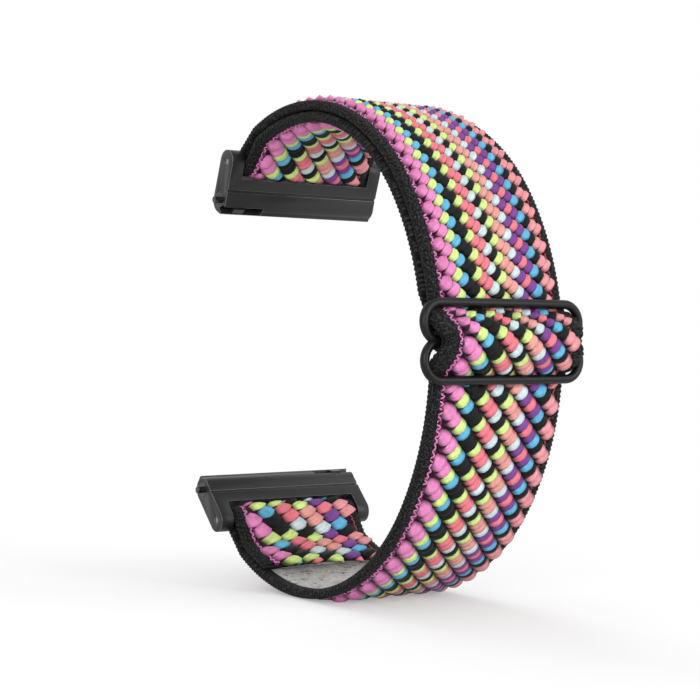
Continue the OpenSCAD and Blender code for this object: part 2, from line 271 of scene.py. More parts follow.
# The felt face of the one continuous strap, from its sewn tail to its sewn end
STRETCHES = [
    ("tail", arc(BOTTOM_C, END_R - HALF_GAP,
                 BOTTOM_NECK - degrees(TAIL_LENGTH / END_R), BOTTOM_NECK)),
    ("bottom_fold", fold(BOTTOM_PIN, BOTTOM_C, BOTTOM_NECK, END_R - HALF_GAP, END_R + HALF_GAP)),
    ("single", arc(BOTTOM_C, END_R + HALF_GAP, BOTTOM_NECK, 180 + SIDE_HALF)),
    ("single_side", arc(SIDE_C, SIDE_R + HALF_GAP, 180 + SIDE_HALF,
                        180 - SLIDER_AT + BAR_BEARING)),
    ("under_lower_bar", from_slider(arc(LOWER_BAR, PRESS_R, 270 + BAR_BEARING, 360 - CLIMB))),
    ("over_middle_bar", from_slider(arc(MIDDLE_BAR, OVER_R, 180 - CLIMB, CLIMB))),
    ("under_upper_bar", from_slider(arc(UPPER_BAR, PRESS_R, 180 + CLIMB, 270 - BAR_BEARING))),
    ("outer_side", arc(SIDE_C, SIDE_R + HALF_GAP, 180 - SLIDER_AT - BAR_BEARING,
                       180 - SIDE_HALF)),
    ("outer", arc(TOP_C, END_R + HALF_GAP, 180 - SIDE_HALF, TOP_NECK)),
    ("top_fold", fold(TOP_PIN, TOP_C, TOP_NECK, END_R + HALF_GAP, END_R - HALF_GAP)),
    ("inner", arc(TOP_C, END_R - HALF_GAP, TOP_NECK, 180 - SIDE_HALF)),
    ("inner_side", arc(SIDE_C, SIDE_R - HALF_GAP, 180 - SIDE_HALF,
                       180 - SLIDER_AT - SEAT_ANGLE)),
    ("sewn_end", sewn_end_path()),
]


class StrapPath:
    """Places a point by how far along the strap it is and how high over the felt face.
    Lengths are measured through the cords, CORD_LINE over that face."""

    CORD_LINE = 1.2
    SAME_SPOT = 0.02
    SHORTEST = 0.01

    def __init__(self, stretches):
        self.points = []
        ends = {}
        for name, points in stretches:
            for point in points:
                if not self.points or (point - self.points[-1]).length > self.SAME_SPOT:
                    self.points.append(point)
            ends[name] = len(self.points) - 1
        last = len(self.points) - 1
        self.ups = []
        for i in range(last + 1):
            along = Vector((0, 0))
            for a, b in ((i - 1, i), (i, i + 1)):
                if a >= 0 and b <= last:
                    along += (self.points[b] - self.points[a]).normalized()
            along.normalize()
            self.ups.append(Vector((-along.y, along.x)))
        line = [p + up * self.CORD_LINE for p, up in zip(self.points, self.ups)]
        self.lengths = [0.0]
        for a, b in zip(line, line[1:]):
            self.lengths.append(self.lengths[-1] + max(self.SHORTEST, (b - a).length))
        self.end = {name: self.lengths[i] for name, i in ends.items()}

    def at(self, s):
        """Point of the felt face, and the direction towards the cords, at length s."""
        i = min(max(bisect_right(self.lengths, s), 1), len(self.points) - 1)
        share = (s - self.lengths[i - 1]) / (self.lengths[i] - self.lengths[i - 1])
        held = min(max(share, 0.0), 1.0)
        point = self.points[i - 1].lerp(self.points[i], share)
        return point, self.ups[i - 1].lerp(self.ups[i], held).normalized()

    def place(self, x, s, height):
        point, up = self.at(s)
        point = point + up * height
        return Vector((x, point.x, max(point.y + STAND_H, 0.0))) * MM


strap = StrapPath(STRETCHES)
STRAP_END = strap.lengths[-1]
LOWER_CUT = strap.end["single_side"]
UPPER_CUT = strap.end["under_upper_bar"]
TAIL_FOLD_END = strap.end["bottom_fold"]
OUTER_END = strap.end["outer"]
SEWN_FROM = strap.end["inner_side"]

# How the weave runs: across the strap, one slanted roll of cords follows the next
COLUMNS = 22
ROLL_PITCH = 2.9
ROLLS_IN_MAP = 100
WEAVE_FROM = -WEB_W / 2 + EDGE_W
WEAVE_W = WEB_W - 2 * EDGE_W
COLUMN_WEIGHTS = [1.5, 1.2, 1.15] + [1.0] * (COLUMNS - 3)
COLUMN_EDGES = [WEAVE_FROM + WEAVE_W * sum(COLUMN_WEIGHTS[:i]) / sum(COLUMN_WEIGHTS)
                for i in range(COLUMNS + 1)]
TAIL_PHASE = 0.47
TAIL_SLANT = 1.85
SINGLE_SLANT = 0.97
HUMP_SLANT = 0.92
OUTER_SLANT = 0.74
SLANT_CHANGES = [
    (TAIL_FOLD_END - 10, TAIL_FOLD_END - 4, SINGLE_SLANT),
    (LOWER_CUT - 2, LOWER_CUT + 2, HUMP_SLANT),
    (UPPER_CUT - 1.5, UPPER_CUT + 2.5, OUTER_SLANT),
    (OUTER_END - 2, OUTER_END + 8, SINGLE_SLANT),
]
BEADS_BEGIN = (UPPER_CUT - 1, UPPER_CUT + 3)
BEADS_END = (OUTER_END - 4, OUTER_END + 6)
BAR_CLEARANCE = 0.02


def smooth(a, b, x):
    t = min(max((x - a) / (b - a), 0.0), 1.0)
    return t * t * (3 - 2 * t)


def slant(s):
    """How far a roll moves along the strap for each millimetre across it."""
    value = TAIL_SLANT
    before = TAIL_SLANT
    for start, end, after in SLANT_CHANGES:
        value += (after - before) * smooth(start, end, s)
        before = after
    return value


def outer_share(s):
    """1 where the strap is the outer layer, whose cords sit as round beads."""
    return smooth(*BEADS_BEGIN, s) * (1 - smooth(*BEADS_END, s))


class Weave:
    """Turns the strap's length into woven length, in which every roll is equally slanted.
    It runs on BEYOND the strap, since the last rolls end there."""

    STEP = 0.2
    BEYOND = 24.0

    def __init__(self):
        self.woven = [TAIL_PHASE]
        for i in range(ceil((STRAP_END + self.BEYOND) / self.STEP)):
            self.woven.append(self.woven[-1] + self.STEP / slant(i * self.STEP))

    def of(self, s):
        place = min(max(s / self.STEP, 0.0), len(self.woven) - 2.0)
        i = int(place)
        return self.woven[i] + (self.woven[i + 1] - self.woven[i]) * (place - i)

    def length(self, woven):
        if woven < TAIL_PHASE:
            return (woven - TAIL_PHASE) * TAIL_SLANT
        i = min(bisect_right(self.woven, woven), len(self.woven) - 1)
        share = (woven - self.woven[i - 1]) / (self.woven[i] - self.woven[i - 1])
        return (i - 1 + share) * self.STEP


weave = Weave()


def crest_limit(s):
    """How high the cords may stand under the slider's outer bars."""
    point, up = strap.at(s)
    return min((point - bar).length for bar in OUTER_BARS) - ROD_R - BAR_CLEARANCE


# Shapes
MERGE_DISTANCE = 1e-7


def new_object(name, mesh, materials):
    piece = bpy.data.objects.new(name, mesh)
    bpy.context.scene.collection.objects.link(piece)
    for material in materials:
        mesh.materials.append(material)
    return piece


def skin(bm, rings, sides, place, uv_of, material_of=None):
    """A tube skinned over rings: a grid rolled up, its seam and its end points merged."""
    uv_layer = bm.loops.layers.uv.verify()
    made = bmesh.ops.create_grid(bm, x_segments=rings, y_segments=sides, size=1.0)
    spots = {}
    faces = set()
    for vert in made["verts"]:
        ring = round((vert.co.x + 1) / 2 * rings)
        side = round((vert.co.y + 1) / 2 * sides)
        spots[vert] = (ring, side)
        faces.update(vert.link_faces)
    for face in faces:
        face.smooth = True
        for corner in face.loops:
            corner[uv_layer].uv = uv_of(*spots[corner.vert])
        if material_of:
            face.material_index = material_of(min(spots[vert][0] for vert in face.verts),
                                              min(spots[vert][1] for vert in face.verts))
    for vert, (ring, side) in spots.items():
        vert.co = place(ring, side % sides)
    bmesh.ops.remove_doubles(bm, verts=made["verts"], dist=MERGE_DISTANCE)


def finish_mesh(name, bm, materials):
    bmesh.ops.recalc_face_normals(bm, faces=bm.faces)
    mesh = bpy.data.meshes.new(name)
    bm.to_mesh(mesh)
    bm.free()
    return new_object(name, mesh, materials)


# Finishes
class Finish:
    """One material and its node tree, with short ways to add and join nodes."""

    def __init__(self, name):
        self.material = bpy.data.materials.new(name)
        self.material.use_nodes = True
        self.tree = self.material.node_tree
        self.shader = self.tree.nodes["Principled BSDF"]

    def node(self, kind, settings=None, **sockets):
        return add_node(self.tree, kind, settings, **sockets)

    def join(self, source, target):
        self.tree.links.new(source, target)

    def set(self, **values):
        for name, value in values.items():
            self.shader.inputs[name.replace("_", " ")].default_value = value


def feed(tree, socket, value):
    """Gives a socket its value, or joins it to another node's socket."""
    if isinstance(value, bpy.types.NodeSocket):
        tree.links.new(value, socket)
    else:
        socket.default_value = value


def add_node(tree, kind, settings=None, **sockets):
    node = tree.nodes.new("ShaderNode" + kind)
    for name, value in (settings or {}).items():
        setattr(node, name, value)
    for name, value in sockets.items():
        feed(tree, node.inputs[name.replace("_", " ")], value)
    return node


def srgb(r, g, b):
    """A colour as seen on screen, 0 to 255, turned to the linear values of a shader."""
    def linear(c):
        c /= 255
        return c / 12.92 if c <= 0.04045 else ((c + 0.055) / 1.055) ** 2.4
    return (linear(r), linear(g), linear(b), 1.0)


def new_group(name, inputs, outputs):
    group = bpy.data.node_groups.new(name, "ShaderNodeTree")
    for socket_name, kind, value in inputs:
        socket = group.interface.new_socket(name=socket_name, in_out="INPUT", socket_type=kind)
        if value is not None:
            socket.default_value = value
    for socket_name, kind in outputs:
        group.interface.new_socket(name=socket_name, in_out="OUTPUT", socket_type=kind)
    entry = group.nodes.new("NodeGroupInput")
    leave = group.nodes.new("NodeGroupOutput")
    return group, entry, leave


def make_grain_group():
    """Fine grain and slow patches of tone, for metal and lacquer."""
    group, entry, leave = new_group("surface_grain", [
        ("Vector", "NodeSocketVector", None),
        ("Grain Scale", "NodeSocketFloat", 4000.0),
        ("Patch Scale", "NodeSocketFloat", 300.0),
    ], [("Grain", "NodeSocketFloat"), ("Patches", "NodeSocketFloat")])
    fine = add_node(group, "TexNoise", Vector=entry.outputs["Vector"],
                    Scale=entry.outputs["Grain Scale"], Detail=3.0)
    slow = add_node(group, "TexNoise", Vector=entry.outputs["Vector"],
                    Scale=entry.outputs["Patch Scale"], Detail=4.0)
    group.links.new(fine.outputs["Fac"], leave.inputs["Grain"])
    group.links.new(slow.outputs["Fac"], leave.inputs["Patches"])
    return group


def make_yarn_group():
    """Twisted filaments along a yarn's own UV map, and soft changes of tone."""
    group, entry, leave = new_group("yarn_fibres", [
        ("Vector", "NodeSocketVector", None),
        ("Twist Scale", "NodeSocketFloat", 60.0),
        ("Tone Scale", "NodeSocketFloat", 20.0),
    ], [("Fibres", "NodeSocketFloat"), ("Tone", "NodeSocketFloat")])
    twist = add_node(group, "TexWave", {"bands_direction": "DIAGONAL"},
                     Vector=entry.outputs["Vector"], Scale=entry.outputs["Twist Scale"],
                     Distortion=2.5, Detail=2.0)
    tone = add_node(group, "TexNoise", Vector=entry.outputs["Vector"],
                    Scale=entry.outputs["Tone Scale"], Detail=2.0)
    group.links.new(twist.outputs["Fac"], leave.inputs["Fibres"])
    group.links.new(tone.outputs["Fac"], leave.inputs["Tone"])
    return group


GRAIN = make_grain_group()
YARN = make_yarn_group()


def place_group(finish, group, vector, **values):
    node = finish.tree.nodes.new("ShaderNodeGroup")
    node.node_tree = group
    finish.join(vector, node.inputs["Vector"])
    for name, value in values.items():
        node.inputs[name.replace("_", " ")].default_value = value
    return node


def shade_by(finish, fac, dark, light):
    """Mixes two colours, or two shaded colours, by a mask."""
    mix = finish.node("Mix", {"data_type": "RGBA"})
    colours = [socket for socket in mix.inputs if socket.type == "RGBA"]
    feed(finish.tree, colours[0], dark)
    feed(finish.tree, colours[1], light)
    finish.join(fac, mix.inputs["Factor"])
    return [socket for socket in mix.outputs if socket.type == "RGBA"][0]


def bump(finish, height, strength, distance):
    node = finish.node("Bump", Strength=strength, Distance=distance, Height=height)
    finish.join(node.outputs["Normal"], finish.shader.inputs["Normal"])


ORCHID = srgb(228, 136, 190)
PINK = srgb(236, 142, 196)
LIME = srgb(214, 240, 143)
BLUE = srgb(100, 182, 220)
BLACK = srgb(11, 12, 14)
CORAL = srgb(236, 126, 138)
ICE = srgb(206, 224, 228)
PEACH = srgb(232, 160, 152)
PURPLE = srgb(124, 70, 146)
SALMON = srgb(232, 153, 158)
CORD_COLOURS = [ORCHID, PINK, LIME, BLUE, BLACK, BLACK, LIME, CORAL, CORAL, ICE, BLACK, LIME,
                PEACH, PEACH, ICE, PURPLE, CORAL, PURPLE, BLUE, BLACK, SALMON, SALMON]


# Where a roll's furrows and slits start and end, round the roll, and how dark their painted shade is
CREST_TURN = 0.5
UPPER_FLANK = (0.62, 0.77)
LOWER_FLANK = (0.27, 0.42)
UPPER_FURROW_SHADE = 0.25
LOWER_FURROW_SHADE = 0.12
CREASE_HALF = 0.12
CREASE_SHADE = 0.62
SLIT = (0.28, 0.49)
SLIT_SHUT = -0.06
SLIT_EDGE = (-0.03, 0.04)
SLIT_SHADE = 0.12
FILAMENTS = 90.0
FILAMENT_WANDER = 160.0
LAST_PLACE = 0.9999

# The strap's own map: ten millimetres to one, and the height of its floor under the cords
UV_MM = 10.0
FLOOR_H = 0.98


def colour_columns(finish, across):
    """The colour of each column of cords, for a place of 0 to 1 across the weave."""
    ramp = finish.node("ValToRGB", Fac=across)
    ramp.color_ramp.interpolation = "CONSTANT"
    stops = ramp.color_ramp.elements
    stops[0].color = CORD_COLOURS[0]
    stops.remove(stops[1])
    for i, colour in enumerate(CORD_COLOURS[1:], 1):
        stops.new(i / COLUMNS).color = colour
    return ramp.outputs["Color"]


def maths(finish, operation, *values):
    """One step of arithmetic on values and on other nodes' results."""
    step = finish.node("Math", {"operation": operation})
    for value, socket in zip(values, step.inputs):
        feed(finish.tree, socket, value)
    return step.outputs[0]


def times(finish, *values):
    product = values[0]
    for value in values[1:]:
        product = maths(finish, "MULTIPLY", product, value)
    return product


def from_crease(finish, across):
    """0 at the crease between two columns of cords, up to 0.5 in the middle of one."""
    place = maths(finish, "FRACT", times(finish, across, COLUMNS))
    return maths(finish, "PINGPONG", place, 0.5)


def ramped(finish, value, start, end, low=0.0, high=1.0):
    """Stretches start..end of a value onto low..high, and holds it beyond them."""
    ranged = finish.node("MapRange", {"clamp": True}, Value=value, From_Min=start,
                         From_Max=end, To_Min=low, To_Max=high)
    return ranged.outputs["Result"]


def scaled(finish, colour, by):
    """A colour made darker or lighter by a mask."""
    shaded = finish.node("VectorMath", {"operation": "SCALE"})
    finish.join(colour, shaded.inputs[0])
    finish.join(by, shaded.inputs["Scale"])
    return shaded.outputs[0]


def finish_cords(finish, across, shades, ridges, strength, distance):
    """Joins the columns' colours, their shading and their bump to the finish."""
    finish.join(scaled(finish, colour_columns(finish, across), times(finish, *shades)),
                finish.shader.inputs["Base Color"])
    bump(finish, ridges, strength, distance)


def cord_finish(name, slit_half, bared):
    """Soft polyester cords: one colour to a column, with fine filaments along each cord,
    painted shade in the furrows between two rolls, darker on one flank than the other, in the creases between columns,
    and in the slits where two cords meet on a roll's flank."""
    finish = Finish(name)
    uv = finish.node("UVMap").outputs["UV"]
    parts = finish.node("SeparateXYZ", Vector=uv)
    across = parts.outputs["X"]
    turned = maths(finish, "MULTIPLY_ADD", parts.outputs["Y"], ROLLS_IN_MAP, CREST_TURN)
    round_roll = maths(finish, "FRACT", turned)
    # Painted shade: each flank of a roll darkens towards the furrow, one flank more than the other.
    upper_flank_shade = ramped(finish, round_roll, UPPER_FLANK[0] + bared, UPPER_FLANK[1] + bared,
                         1.0, UPPER_FURROW_SHADE)
    lower_flank_shade = ramped(finish, round_roll, LOWER_FLANK[0] - bared, LOWER_FLANK[1] - bared,
                         LOWER_FURROW_SHADE, 1.0)
    crease_gap = from_crease(finish, across)
    # Painted shade in the creases between two columns of cords.
    crease = ramped(finish, crease_gap, 0.0, CREASE_HALF, CREASE_SHADE)
    # Painted shade in the slits where two cords meet on a roll's flank.
    slit_edge = ramped(finish, round_roll, *SLIT, slit_half, SLIT_SHUT)
    in_slit = maths(finish, "SUBTRACT", crease_gap, slit_edge)
    slit_shade = ramped(finish, in_slit, *SLIT_EDGE, SLIT_SHADE)
    filaments = finish.node("VectorMath", {"operation": "MULTIPLY"})
    finish.join(uv, filaments.inputs[0])
    filaments.inputs[1].default_value = (FILAMENTS, FILAMENT_WANDER, 0)
    lines = finish.node("TexNoise", Vector=filaments.outputs[0], Scale=1.0, Detail=2.0)
    line_tone = ramped(finish, lines.outputs["Fac"], 0.3, 0.7, 0.8, 1.12)
    yarn = place_group(finish, YARN, uv, Twist_Scale=70.0, Tone_Scale=60.0)
    tone = ramped(finish, yarn.outputs["Tone"], 0.2, 0.8, 0.86, 1.1)
    ridges = maths(finish, "ADD", yarn.outputs["Fibres"], lines.outputs["Fac"])
    shades = (tone, line_tone, crease, upper_flank_shade, lower_flank_shade, slit_shade)
    finish_cords(finish, across, shades, ridges, 0.5, 0.00003)
    finish.set(Roughness=0.62, Specular_IOR_Level=0.2, Sheen_Weight=0.04, Sheen_Roughness=0.4)
    return finish.material


def pressed_cord_finish():
    """Cords pressed flat and fused at the sewn end: their colours run on as dull stripes."""
    finish = Finish("pressed_cords")
    uv = finish.node("UVMap").outputs["UV"]
    parts = finish.node("SeparateXYZ", Vector=uv)
    left = (WEAVE_FROM + FLOOR_H) / UV_MM
    right = (WEAVE_FROM + WEAVE_W + FLOOR_H) / UV_MM
    across = ramped(finish, parts.outputs["Y"], left, right, 0.0, LAST_PLACE)
    # Painted shade in the creases between the pressed columns.
    crease = ramped(finish, from_crease(finish, across), 0.0, 0.2, 0.45)
    yarn = place_group(finish, YARN, uv, Twist_Scale=14.0, Tone_Scale=12.0)
    tone = ramped(finish, yarn.outputs["Tone"], 0.25, 0.75, 0.4, 0.9)
    rows = ramped(finish, yarn.outputs["Fibres"], 0.0, 1.0, 0.65)
    shades = (tone, rows, crease)
    finish_cords(finish, across, shades, yarn.outputs["Fibres"], 0.6, 0.00005)
    finish.set(Roughness=0.55, Specular_IOR_Level=0.3)
    return finish.material


def knit_finish(name, dark, light, pitch_scale, strength):
    """Fine knitted yarn on the strap's UV map: loops in slanting rows, with bright flecks that are painted sparkle
    highlights.
    """
    finish = Finish(name)
    uv = finish.node("UVMap").outputs["UV"]
    yarn = place_group(finish, YARN, uv, Twist_Scale=pitch_scale, Tone_Scale=pitch_scale * 0.6)
    noise = finish.node("TexNoise", Vector=uv, Scale=pitch_scale * 1.6, Detail=3.0)
    loops = maths(finish, "ADD", yarn.outputs["Fibres"], noise.outputs["Fac"])
    # Painted sparkle highlights: bright flecks of the lighter colour.
    sparkle_specks = ramped(finish, noise.outputs["Fac"], 0.46, 0.7)
    finish.join(shade_by(finish, sparkle_specks, dark, light), finish.shader.inputs["Base Color"])
    finish.set(Roughness=0.8, Specular_IOR_Level=0.15, Sheen_Weight=0.02, Sheen_Roughness=0.5)
    bump(finish, loops, strength, 0.00006)
    return finish.material


def felt_finish():
    """Pale grey brushed face against the wrist, with dark fibres showing through."""
    finish = Finish("brushed_felt")
    uv = finish.node("UVMap").outputs["UV"]
    fibres = finish.node("TexNoise", Vector=uv, Scale=16.0, Detail=6.0, Roughness=0.7)
    flecks = finish.node("TexNoise", Vector=uv, Scale=7.0, Detail=8.0, Roughness=0.72)
    brushed = ramped(finish, fibres.outputs["Fac"], 0.3, 0.7)
    grey = shade_by(finish, brushed, srgb(158, 157, 156), srgb(226, 223, 218))
    clear = ramped(finish, flecks.outputs["Fac"], 0.37, 0.45)
    finish.join(shade_by(finish, clear, srgb(58, 58, 60), grey),
                finish.shader.inputs["Base Color"])
    finish.set(Roughness=0.95, Specular_IOR_Level=0.1, Sheen_Weight=0.15, Sheen_Roughness=0.6)
    bump(finish, fibres.outputs["Fac"], 0.6, 0.00008)
    return finish.material


def thread_finish(name, dark, light):
    finish = Finish(name)
    uv = finish.node("UVMap").outputs["UV"]
    yarn = place_group(finish, YARN, uv, Twist_Scale=12.0, Tone_Scale=8.0)
    tone = ramped(finish, yarn.outputs["Tone"], 0.3, 0.7)
    finish.join(shade_by(finish, tone, dark, light), finish.shader.inputs["Base Color"])
    finish.set(Roughness=0.5, Specular_IOR_Level=0.25, Sheen_Weight=0.05)
    bump(finish, yarn.outputs["Fibres"], 0.4, 0.00002)
    return finish.material


def metal_finish(name, dark, light, metallic, rough_low, rough_high, specular, grain_scale):
    """Coated or bare metal with a fine grain and slow patches of handling."""
    finish = Finish(name)
    place = finish.node("TexCoord").outputs["Object"]
    grain = place_group(finish, GRAIN, place, Grain_Scale=grain_scale, Patch_Scale=350.0)
    finish.join(shade_by(finish, grain.outputs["Patches"], dark, light),
                finish.shader.inputs["Base Color"])
    finish.join(ramped(finish, grain.outputs["Patches"], 0.0, 1.0, rough_low, rough_high),
                finish.shader.inputs["Roughness"])
    finish.set(Metallic=metallic, Specular_IOR_Level=specular)
    bump(finish, grain.outputs["Grain"], 0.12, 0.00002)
    return finish.material


# The two cord finishes differ only in how wide their painted slit and flank shade is.
CORDS = cord_finish("nested_cords", 0.33, 0.0)
BEADED_CORDS = cord_finish("beaded_cords", 0.1, 0.06)
CORD_MATERIALS = [CORDS, BEADED_CORDS]
# The weave floor's dark plum is partly the webbing's own colour and partly painted shade under the cords.
WEB_FLOOR = knit_finish("weave_floor", srgb(30, 12, 26), srgb(92, 24, 70), 30.0, 0.5)
SELVEDGE = knit_finish("knitted_selvedge", srgb(5, 5, 6), srgb(66, 66, 68), 24.0, 0.9)
PRESSED_CORDS = pressed_cord_finish()
FELT = felt_finish()
PALE_THREAD = thread_finish("pale_pink_thread", srgb(186, 84, 150), srgb(244, 176, 216))
PLUM_THREAD = thread_finish("plum_thread", srgb(96, 20, 72), srgb(168, 52, 128))
RUST_THREAD = thread_finish("rust_thread", srgb(96, 22, 34), srgb(196, 96, 100))
TACK_THREAD = thread_finish("black_tack_thread", srgb(14, 14, 16), srgb(44, 44, 48))
LACQUER = metal_finish("black_lacquered_rod", srgb(8, 8, 9), srgb(20, 20, 22),
                       0.0, 0.3, 0.44, 0.24, 2500.0)
GUNMETAL = metal_finish("satin_gunmetal", srgb(30, 30, 32), srgb(44, 44, 46),
                        0.3, 0.34, 0.5, 0.45, 5000.0)
# Bright edge finish: partly rubbed wear and partly a painted highlight along the connectors' edges.
WORN_HIGHLIT_GUNMETAL = metal_finish("worn_gunmetal_edges", srgb(118, 118, 121), srgb(164, 164, 166),
                             0.8, 0.26, 0.4, 0.5, 5000.0)
STEEL = metal_finish("drawn_steel", srgb(112, 112, 115), srgb(158, 158, 160),
                     1.0, 0.24, 0.38, 0.5, 6000.0)
DARK_STEEL = metal_finish("blackened_steel", srgb(64, 64, 68), srgb(96, 96, 100),
                          1.0, 0.26, 0.42, 0.5, 6000.0)


# The webbing under the cords, and where along the strap its layers start and stop
WEB_FROM = 0.9
CORDS_FROM = -0.8
THREADS_FROM = 0.0
CORDS_TO = SEWN_FROM + 1.1
PRESSED_FROM = SEWN_FROM - 0.2
THIN_BETWEEN = (SEWN_FROM - 1.5, SEWN_FROM + 0.5)
TAIL_END_SHARE = 0.45
TAIL_END_LENGTH = 2.2
HALF_W = WEB_W / 2
SELVEDGE_H = 1.1
FELT_HALF = 4.0
WEB_STEP = 0.14

# The knit's small waves, and the wrinkles and lobes of the edge between the slider's bars
KNIT_PITCH = 0.56
KNIT_TURN = 0.2
KNIT_H = 0.045
KNIT_UNDER = -0.4
KNIT_FACE = 0.9
KNIT_SIDE = 0.3
FACE_ABOVE = 0.9
FACE_BELOW = 0.1
WRINKLE_PITCH = 0.85
WRINKLE_H = 0.06
LOBE_FADE = 1.0
LOBE_BULGE = 1.05
LOBE_FULLNESS = 0.6
LOBE_LEAN = 1.3


def mirrored(spots):
    return [(-x, h) for x, h in reversed(spots)]


def web_profile():
    """The section of the webbing, round from the near edge over the cord side, with the
    sides that are the floor under the cords and those that are the felt."""
    near = [(-HALF_W, 0.45), (-HALF_W, 0.75), (-HALF_W + 0.12, 1.0), (-HALF_W + 0.4, SELVEDGE_H),
            (-HALF_W + 0.8, SELVEDGE_H + 0.03), (-HALF_W + 1.15, SELVEDGE_H - 0.04)]
    stops = [WEAVE_FROM, -FELT_HALF, 0.0, FELT_HALF, -WEAVE_FROM]
    top = [(x, FLOOR_H) for x in stops]
    corner = [(HALF_W - 0.1, 0.2), (HALF_W - 0.35, 0.02)]
    felt = [(-x, 0.0) for x in stops]
    spots = near + top
    floor_sides = range(len(near), len(spots) - 1)
    spots += mirrored(near) + corner
    felt_sides = range(len(spots), len(spots) + len(felt) - 1)
    spots += felt + mirrored(corner)
    return spots, floor_sides, felt_sides


PROFILE, FLOOR_SIDES, FELT_SIDES = web_profile()
WEB_MATERIALS = [SELVEDGE, WEB_FLOOR, FELT, PRESSED_CORDS]


def web_material_of(s, side):
    material = SELVEDGE
    if side in FLOOR_SIDES:
        material = PRESSED_CORDS if s > PRESSED_FROM else WEB_FLOOR
    if side in FELT_SIDES:
        material = FELT
    return WEB_MATERIALS.index(material)


def web_thin(s):
    """The strap is pressed thinner at its sealed tail and where it wraps the middle bar."""
    wrap = (1 - END_WRAP_T / WEB_T) * smooth(*THIN_BETWEEN, s)
    return (1 - wrap) * (TAIL_END_SHARE + (1 - TAIL_END_SHARE) * smooth(0, TAIL_END_LENGTH, s))


def knit_share(h):
    """How much of the knit's relief lifts a point of the section, by its height there."""
    side = 1 if h > 0.5 else KNIT_UNDER
    return side * (KNIT_FACE if h > FACE_ABOVE or h < FACE_BELOW else KNIT_SIDE)


def edge_relief(s, turn, out):
    """How far the knitted edge stands out at s: its relief, and its lobes at the slider."""
    between = (smooth(LOWER_CUT - LOBE_FADE, LOWER_CUT + LOBE_FADE, s)
               * (1 - smooth(UPPER_CUT - LOBE_FADE, UPPER_CUT + LOBE_FADE, s)))
    knit = KNIT_H * sin(2 * pi * (s / KNIT_PITCH + KNIT_TURN * turn))
    wrinkle = WRINKLE_H * between * sin(2 * pi * s / WRINKLE_PITCH)
    share = (s - LOWER_CUT) / (UPPER_CUT - LOWER_CUT)
    from_bar = min(abs(1 - 2 * share), 1.0) ** LOBE_LEAN
    lobe = LOBE_BULGE * between * sin(pi * from_bar) ** LOBE_FULLNESS
    return min(out * 2, 1) * (knit + wrinkle), lobe


def webbing(name, start, end):
    bm = bmesh.new()
    rings = ceil((end - start) / WEB_STEP)
    sides = len(PROFILE)

    def section(ring, side):
        s = start + (end - start) * min(max(ring - 1, 0), rings - 2) / (rings - 2)
        if ring in (0, rings):
            return strap.place(0, s, 0.5 * web_thin(s))
        x, h = PROFILE[side]
        out = max(abs(x) - (HALF_W - EDGE_W), 0) / EDGE_W
        if out > 0:
            lift, lobe = edge_relief(s, side if x < 0 else -side, out)
            x += (lift + lobe if x > 0 else -lift - lobe) * out
            h += lift * knit_share(h)
            if h > FACE_ABOVE and crest_limit(s) > FACE_ABOVE:
                h = min(h, crest_limit(s))
        return strap.place(x, s, h * web_thin(s))

    def uv_of(ring, side):
        s = start + (end - start) * ring / rings
        x, h = PROFILE[side % sides]
        return (s / UV_MM, (x + h) / UV_MM)

    def material_of(ring, side):
        return web_material_of(start + (end - start) * ring / rings, side)

    skin(bm, rings, sides, section, uv_of, material_of)
    return finish_mesh(name, bm, WEB_MATERIALS)


# The rolls of coloured cords
CREST_H = 1.74
ROLL_DEPTH = 0.82
ROLL_FLOOR = 0.72
ROLL_OVERLAP = 1.06
ROLL_ANGLES = [90, 67, 45, 22, 0, -35, -90, -145, 180, 158, 135, 113]
UNDERSIDE = 0.4
END_ROUND = 1.1
LEAST_SIZE = 0.05
PRESSED_BETWEEN = (SEWN_FROM - 1, SEWN_FROM + 1.8)
PRESSED_DROP = 0.75
NEAR_PIN = (2.5, 4.0)
NEAR_PIN_DROP = 0.2
SWELL_SPREAD = 0.045
DROP_SPREAD = 0.04

# A cord's shape as (place across its column, thickness), and the first column's extra shares
OUTER_BEADS = [(0.0, 0.8), (0.2, 0.99), (0.5, 1.06), (0.8, 0.99)]
NESTED_CUPS = [(0.0, 0.74), (0.14, 0.88), (0.5, 1.0), (0.88, 1.08)]
FIRST_BEAD = [0.01, 0.78, 1.1, 0.93]
FIRST_CUP = [0.01, 0.6, 0.94, 1.0]
TIP = 0.01
CUP_LEAN = 0.46
BEAD_LEAN = 0.1


def zone_of(s):
    """Which of the strap's three stretches a length lies in."""
    if s < LOWER_CUT:
        return 0
    return 1 if s < UPPER_CUT else 2


def mixed(beaded, nested, outer):
    return beaded * outer + nested * (1 - outer)


def roll_length(roll, x):
    """How far along the strap a roll lies where it crosses x."""
    return weave.length(roll * ROLL_PITCH - (x - WEAVE_FROM))


def roll_stations(roll, chance):
    """Rings along one roll: across position, length, size, lean, drop and place in the
    columns."""
    stations = []
    for column in range(COLUMNS):
        swell = 1 + chance.uniform(-SWELL_SPREAD, SWELL_SPREAD)
        drop = chance.uniform(-DROP_SPREAD, DROP_SPREAD)
        left = COLUMN_EDGES[column]
        width = COLUMN_EDGES[column + 1] - left
        shapes = zip(OUTER_BEADS, NESTED_CUPS, FIRST_BEAD, FIRST_CUP)
        for (bead_at, bead), (cup_at, cup), first_bead, first_cup in shapes:
            outer = outer_share(roll_length(roll, left + width * bead_at))
            part = mixed(bead_at, cup_at, outer)
            size = mixed(bead, cup, outer) * (swell if bead_at else 1)
            if column == 0:
                size *= mixed(first_bead, first_cup, outer)
            x = left + width * part
            stations.append((x, roll_length(roll, x), size, mixed(BEAD_LEAN, CUP_LEAN, outer),
                             drop if bead_at else 0, (column + part) / COLUMNS))
    x = COLUMN_EDGES[-1]
    stations.append((x, roll_length(roll, x), TIP, 0.0, 0.0, LAST_PLACE))
    return stations


